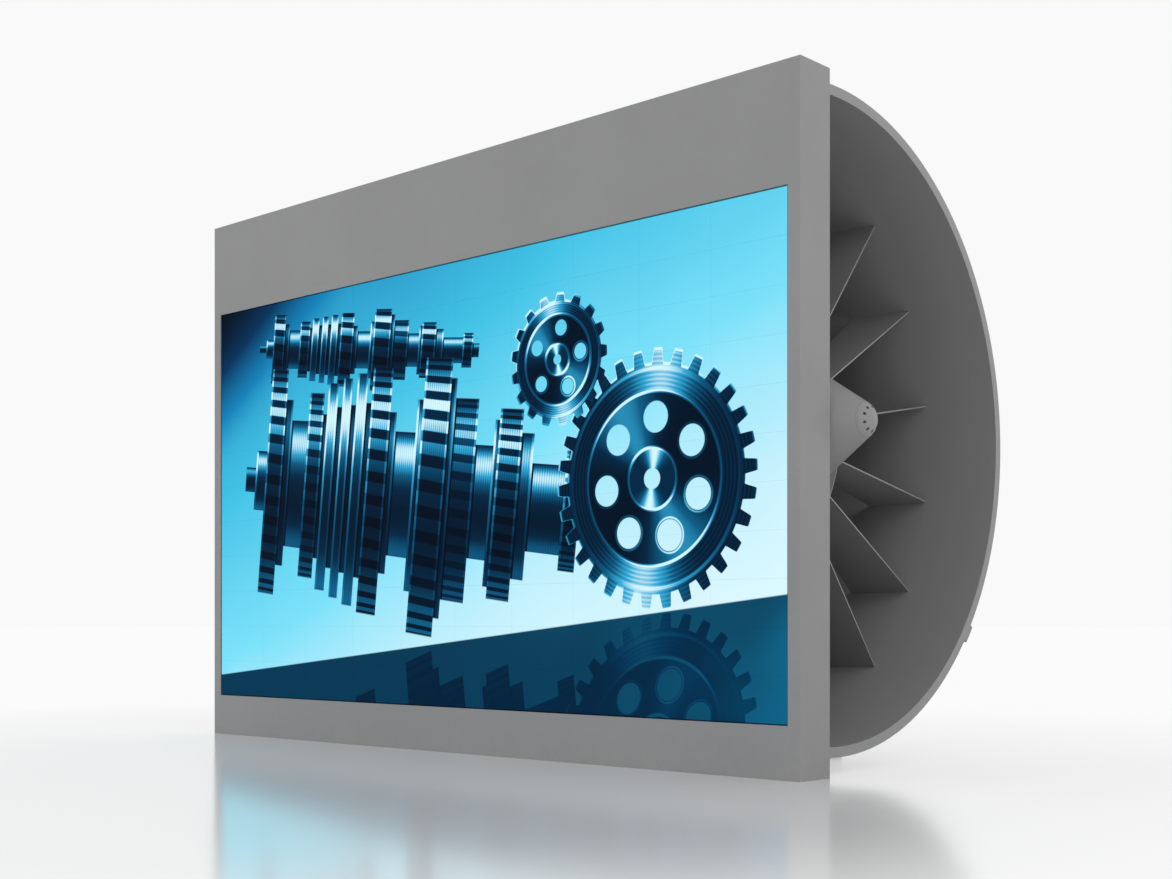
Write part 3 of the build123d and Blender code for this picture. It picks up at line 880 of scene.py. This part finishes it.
@dataclass(frozen=True)
class Fastener:
    """A low round head, straight-sided with a sunk drive, or narrower at its top and plain.

    The crown is its top's radius as a share of its own. The rounding and the drive's depth are
    shares of its height, and the drive's wall and slope are shares of its radius.
    """

    radius: float
    height: float
    crown: float = 1.0
    drive: bool = True
    sides: int = 14
    sunk: float = 0.0002
    rounding: float = 0.4
    drive_wall: float = 0.38
    drive_slope: float = 0.06
    drive_depth: float = 0.5

    def _head(self) -> bmesh.types.BMesh:
        """Make one head that stands on the origin and faces +Z.

        Returns:
            The head's mesh.
        """
        head = bmesh.new()
        bmesh.ops.create_cone(head, cap_ends=True, segments=self.sides, radius1=self.radius,
                              radius2=self.radius * self.crown, depth=self.height)
        top = max(head.faces, key=lambda face: face.calc_center_median().z)
        bmesh.ops.bevel(head, geom=list(top.edges), offset=self.height * self.rounding,
                        segments=2, profile=0.5, material=-1, affect="EDGES")
        if self.drive:
            top = max(head.faces, key=lambda face: face.calc_center_median().z)
            bmesh.ops.inset_region(head, faces=[top], thickness=self.radius * self.drive_wall)
            top = max((face for face in head.faces if len(face.verts) == self.sides),
                      key=lambda face: (face.calc_center_median().z, -face.calc_area()))
            bmesh.ops.inset_region(head, faces=[top], thickness=self.radius * self.drive_slope,
                                   depth=-self.height * self.drive_depth)
        bmesh.ops.translate(head, verts=head.verts, vec=(0, 0, self.height / 2 - self.sunk))
        return head

    def set_out(self, seats: Iterable[tuple[Vector, Vector]]) -> bmesh.types.BMesh:
        """Set a head on every seat.

        Args:
            seats: Each seat's place and the way that its head faces.

        Returns:
            One mesh of all the heads.
        """
        single = self._head()
        template = bpy.data.meshes.new("head_template")
        single.to_mesh(template)
        single.free()
        heads = bmesh.new()
        for place, facing in seats:
            start = len(heads.verts)
            heads.from_mesh(template)
            heads.verts.ensure_lookup_table()
            turn = facing.to_track_quat("Z", "Y").to_matrix().to_4x4()
            bmesh.ops.transform(heads, matrix=Matrix.Translation(place) @ turn,
                                verts=heads.verts[start:])
        bpy.data.meshes.remove(template)
        return heads


@dataclass
class Assembly:
    """A sub-assembly, with the shared palette and its coats: each a finish and its CAD nodes."""

    palette: Palette
    coats: Coats = ()

    def dress(self) -> None:
        """Give the CAD nodes their finishes."""
        for finish, *nodes in self.coats:
            for name in nodes:
                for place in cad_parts[name].material_slots:
                    place.material = self.palette[finish]
                LOG.info("dressed %s in %s", name, finish)

    def build(self) -> None:
        """Dress it; a sub-assembly with pieces of its own builds them too."""
        self.dress()


@dataclass
class DisplayWall(Assembly):
    """The slab wall: its sheet covers, screen, inner frame and the screws of its back."""

    sheets: tuple[str, ...] = numbered("back_sheet", 4)
    coats: Coats = (
        ("wall_front", "front_fascia"),
        ("wall_side", "side_cover_left", "side_cover_right", "top_cover", "base_tray"),
        ("wall_back", *sheets),
        ("black_plastic", "power_inlet", "receiving_cards"),
        ("zinc", "cross_rails", "keel_bars", "equipment_plates", *numbered("frame_post", 5)),
        ("case_metal", "power_supplies", "sender_box"),
        ("screen_picture", *numbered("screen_bay", 5)),
    )
    screw: Fastener = Fastener(radius=0.006, height=0.003)
    screw_rows: int = 5
    screw_inset: float = 0.013
    screw_foot: float = 0.035
    screw_top: float = 0.018
    standing_there: tuple[str, ...] = ("floor_beam_left", "floor_beam_middle", "floor_beam_right",
                                       "rear_bulkhead", "mouth_ring")

    def build_screws(self) -> None:
        """Set screws along the upright edges of the back sheets."""
        seats = []
        for sheet in self.sheets:
            low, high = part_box(sheet)
            span = high.z - low.z - self.screw_foot - self.screw_top
            for x in (low.x + self.screw_inset, high.x - self.screw_inset):
                for row in range(self.screw_rows):
                    z = low.z + self.screw_foot + span * row / (self.screw_rows - 1)
                    if not self._covered(x, z):
                        seats.append((Vector((x, high.y, z)), Vector((0, 1, 0))))
        keep("back_sheet_screws", self.screw.set_out(seats), self.palette["zinc"])

    def _covered(self, x: float, z: float) -> bool:
        """Say whether a beam's plate or the duct stands where a screw would be.

        Args:
            x: The place along the wall.
            z: The height.

        Returns:
            Whether the place is taken.
        """
        margin = self.screw.radius * 2
        for name in self.standing_there:
            low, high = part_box(name)
            if low.x - margin < x < high.x + margin and low.z - margin < z < high.z + margin:
                return True
        return False

    def build(self) -> None:
        """Dress the wall and build its screws."""
        self.dress()
        self.build_screws()


@dataclass
class EngineIntake(Assembly):
    """The half duct, its hub, spinner and blades.

    Angles are degrees above the level, seen along the duct's axis. The straps' rivets stand a
    share of the strap's width from its middle.
    """

    coats: Coats = (
        ("cowl_paint", "cowl_skin", "rim_lug"),
        ("rim_paint", "mouth_ring"),
        ("liner_paint", "duct_liner"),
        ("dark_board", "rear_bulkhead", "hub_rear_plate"),
        ("bare_board", "former", "sill_top", "sill_bottom"),
        ("hub_board", "hub_front_plate"),
        ("hub_paint", "hub_skin"),
        ("zinc", "hub_angles"),
        ("spinner_paint", "spinner"),
        ("blade_paint", *numbered("blade", 10)),
    )
    cowl_radius: float = 1.137
    lap: float = 0.030
    cradles: tuple[str, ...] = ("cradle_middle", "cradle_right")
    board_screw: Fastener = Fastener(radius=0.007, height=0.0035)
    board_screw_inset: float = 0.045
    board_screw_angles: range = range(-84, 85, 12)
    rivet: Fastener = Fastener(radius=0.0055, height=0.0016, crown=0.72, drive=False, sides=12)
    rivet_inset: float = 0.006
    rivet_angles: range = range(-92, 93, 8)
    strap_angles: tuple[float, ...] = (-32.0, 32.0)
    strap_width: float = 0.050
    strap_sheet: float = 0.0015
    strap_bevel: float = 0.0006
    strap_rivets: int = 11
    strap_rivet_inset: float = 0.03
    strap_rivet_pitch: float = 0.111
    strap_rivet_share: float = 0.3

    @staticmethod
    def _outward(degrees: float) -> Vector:
        """Give the way out from the duct's axis at an angle."""
        angle = math.radians(degrees)
        return Vector((0.0, math.cos(angle), math.sin(angle)))

    def _on_cowl(self, x: float, degrees: float, lift: float = 0.0) -> tuple[Vector, Vector]:
        """Give a place on the cowl, or lifted off it, and the way that it faces."""
        out = self._outward(degrees)
        return Vector((x, AXIS_Y, AXIS_Z)) + out * (self.cowl_radius + lift), out

    def _on_cradle(self, x: float, degrees: float) -> bool:
        """Say whether a cradle stands where a rivet would be on the cowl.

        Args:
            x: The place along the duct.
            degrees: The rivet's angle.

        Returns:
            Whether the place is taken.
        """
        place, _ = self._on_cowl(x, degrees)
        for name in self.cradles:
            low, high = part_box(name)
            if (low.x < x < high.x and place.z < AXIS_Z
                    and low.y - self.rivet.radius < place.y < high.y + self.rivet.radius):
                return True
        return False

    def build_board_screws(self) -> None:
        """Set screws round the edge of the rear bulkhead."""
        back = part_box("rear_bulkhead")[0].x
        reach = self.cowl_radius - self.board_screw_inset
        centre = Vector((back, AXIS_Y, AXIS_Z))
        seats = [(centre + self._outward(degrees) * reach, Vector((-1, 0, 0)))
                 for degrees in self.board_screw_angles]
        keep("bulkhead_screws", self.board_screw.set_out(seats), self.palette["zinc"])

    def build_straps(self) -> None:
        """Lay a narrow strap over each joint between the cowl's sheets."""
        low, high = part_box("cowl_skin")
        for number, degrees in enumerate(self.strap_angles, 1):
            place, _ = self._on_cowl((low.x + high.x) / 2, degrees)
            strap = bmesh.new()
            bmesh.ops.create_cube(strap, size=1.0)
            bmesh.ops.scale(strap, vec=(high.x - low.x, self.strap_width, self.strap_sheet * 2),
                            verts=strap.verts)
            bmesh.ops.bevel(strap, geom=list(strap.edges), offset=self.strap_bevel, segments=2,
                            profile=0.5, material=-1, affect="EDGES")
            turn = Matrix.Rotation(math.radians(degrees - 90.0), 4, "X")
            bmesh.ops.transform(strap, matrix=Matrix.Translation(place) @ turn,
                                verts=strap.verts)
            keep(f"cowl_strap_{number}", strap, self.palette["cowl_paint"])

    def build_rivets(self) -> None:
        """Set rivets along the cowl's two ends, over the former, and along the straps."""
        low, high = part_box("cowl_skin")
        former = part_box("former")
        rows = (low.x + self.rivet_inset, (former[0].x + former[1].x) / 2, high.x - self.lap / 2)
        seats = [self._on_cowl(x, degrees) for x in rows for degrees in self.rivet_angles
                 if not self._on_cradle(x, degrees)]
        off = math.degrees(self.strap_width * self.strap_rivet_share / self.cowl_radius)
        start = low.x + self.strap_rivet_inset
        seats += [self._on_cowl(start + step * self.strap_rivet_pitch, strap + side,
                                self.strap_sheet)
                  for strap in self.strap_angles for side in (-off, off)
                  for step in range(self.strap_rivets)]
        keep("cowl_rivets", self.rivet.set_out(seats), self.palette["cowl_paint"])

    def build(self) -> None:
        """Dress the intake and build its screws, straps and rivets."""
        self.dress()
        self.build_board_screws()
        self.build_straps()
        self.build_rivets()


@dataclass
class FloorSupport(Assembly):
    """The beams and cradles behind the wall, with their caps and bolts."""

    coats: Coats = (
        ("base_paint", "floor_beam_left", "floor_beam_middle", "floor_beam_right",
         "cradle_middle", "cradle_right"),
        ("black_plastic", "beam_caps"),
        ("zinc", "beam_bolts"),
    )


@dataclass(frozen=True)
class Lamp:
    """A square lamp: where it hangs, what it points at, its side in metres and its power."""

    name: str
    place: Place
    aim: Place
    size: float
    watts: float

    def hang(self) -> None:
        """Hang the lamp, unseen in reflections."""
        data = bpy.data.lights.new(self.name, "AREA")
        data.size = self.size
        data.energy = self.watts
        lamp = put(self.name, data)
        lamp.location = self.place
        lamp.visible_glossy = False
        way = Vector(self.aim) - Vector(self.place)
        lamp.rotation_euler = way.to_track_quat("-Z", "Y").to_euler()


@dataclass
class Studio(Assembly):
    """The floor, lamps, backdrop and camera."""

    floor_half: float = 150.0
    backdrop: float = 0.945
    ambient: float = 0.68
    lamps: tuple[Lamp, ...] = (
        Lamp("key_lamp", (-2.5, -6.5, 2.0), (0.0, 0.0, 1.0), size=5.0, watts=87.0),
        Lamp("end_lamp", (7.5, -1.5, 4.0), (1.6, 0.4, 1.2), size=4.0, watts=110.0),
        Lamp("back_lamp", (-1.0, 7.0, 5.0), (0.0, 0.6, 1.0), size=5.0, watts=120.0),
    )
    camera_place: Place = (4.5692, -4.2601, 0.5171)
    camera_turn: float = 42.76
    lens: float = 48.02
    sensor: float = 36.0
    shift: float = 0.1558
    view_end: float = 600.0

    def lay_floor(self) -> None:
        """Lay the floor under the stand."""
        mesh = bmesh.new()
        bmesh.ops.create_grid(mesh, x_segments=1, y_segments=1, size=self.floor_half)
        floor = put_mesh("studio_floor", mesh, self.palette["studio_floor"])

    def set_world(self) -> None:
        """Light the scene evenly and show a white backdrop."""
        world = bpy.data.worlds.new("studio")
        bpy.context.scene.world = world
        graph = Graph(world, "ShaderNodeOutputWorld")
        path = graph.node("ShaderNodeLightPath")
        seen = 0.0
        for ray in ("Is Camera Ray", "Is Glossy Ray", "Is Transmission Ray"):
            seen = graph.math("MAXIMUM", Term(graph, path.outputs[ray]), seen)
        soft = graph.node("ShaderNodeBackground", inputs={"Color": EVEN,
                                                          "Strength": self.ambient})
        white = graph.node("ShaderNodeBackground", inputs={"Color": grey(self.backdrop),
                                                           "Strength": 1.0})
        graph.mix_shaders(seen, soft, white)

    def set_camera(self) -> None:
        """Set the camera at the photograph's viewing angle."""
        data = bpy.data.cameras.new("camera")
        data.lens = self.lens
        data.sensor_width = self.sensor
        data.sensor_fit = "HORIZONTAL"
        data.shift_y = self.shift
        data.clip_end = self.view_end
        camera = put("camera", data)
        camera.location = self.camera_place
        camera.rotation_euler = (math.pi / 2, 0.0, math.radians(self.camera_turn))
        bpy.context.scene.camera = camera

    def build(self) -> None:
        """Set up the studio."""
        self.lay_floor()
        self.set_world()
        for lamp in self.lamps:
            lamp.hang()
        self.set_camera()
        bpy.context.scene.view_settings.view_transform = "Standard"


def draw_picture() -> WorkshopPicture:
    """Lay out the screen's picture over its five bays.

    Returns:
        The picture.
    """
    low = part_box("screen_bay_1")[0]
    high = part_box("screen_bay_5")[1]
    motifs = (
        Roller(x=-0.58, z=1.66, length=1.45, reach=0.17, tilt=-0.12, teeth=14.0),
        Roller(x=-0.34, z=1.04, length=2.15, reach=0.56, tilt=-0.12, teeth=34.0),
        Wheel(x=1.02, z=1.02, radius=0.46, teeth=30, turn=0.3, windows=7, lit_from=2.1),
        Wheel(x=0.56, z=1.49, radius=0.25, teeth=17, turn=1.1, windows=5, lit_from=2.4),
    )
    return WorkshopPicture(left=low.x, bottom=low.z, width=high.x - low.x,
                           height=high.z - low.z, motifs=motifs)


def mix_finishes() -> Palette:
    """Make every finish of the stand.

    Returns:
        The palette of materials.
    """
    liner = 0.295
    finishes = {
        "wall_front": SheetPaint(shade=0.27),
        "wall_side": SheetPaint(shade=0.262),
        "wall_back": SheetPaint(shade=0.25, clouding=0.05),
        "cowl_paint": SheetPaint(shade=0.28, banding=(1.0, 0.6, 0.6)),
        "rim_paint": SheetPaint(shade=0.28, banding=(1.0, 0.6, 0.6), throat=liner),
        # The liner's far end has a painted shade, 0.78 of the liner's grey.
        "liner_paint": SheetPaint(shade=liner, banding=(3.0, 0.4, 0.4), dust=0.0,
                                  deep_painted_shade=liner * 0.78),
        # The hub's skin and the blades carry a painted highlight on faces turned to the mouth.
        "hub_paint": BladePaint(shade=0.22, edge=0.32),
        "blade_paint": BladePaint(shade=0.262, edge=0.31),
        # The spinner's holes carry painted shade.
        "spinner_paint": TurnedPaint(shade=0.262, tip_x=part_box("spinner")[1].x),
        "base_paint": SheetPaint(shade=0.11, clouding=0.08, dust=0.12),
        "hub_board": BoardPaint((0.125, 0.125, 0.127), (0.105, 0.105, 0.107)),
        "dark_board": BoardPaint((0.16, 0.16, 0.163), (0.13, 0.13, 0.133)),
        "bare_board": BoardPaint((0.55, 0.41, 0.26), (0.42, 0.29, 0.17)),
        "zinc": BareMetal((0.55, 0.56, 0.57), (1.0, 1.0, 0.2)),
        "case_metal": BareMetal((0.62, 0.62, 0.63), (0.1, 1.0, 1.0), spangle=0.0),
        "black_plastic": MouldedPlastic(),
        "screen_picture": draw_picture(),
        "studio_floor": StudioFloor(),
    }
    return {name: finish.build(name) for name, finish in finishes.items()}


def main() -> None:
    """Build the stand and its studio."""
    logging.basicConfig(level=logging.INFO, format="%(message)s")
    palette = mix_finishes()
    for kind in (DisplayWall, EngineIntake, FloorSupport, Studio):
        LOG.info("building %s", kind.__name__)
        kind(palette).build()


if __name__ == "__main__":
    main()
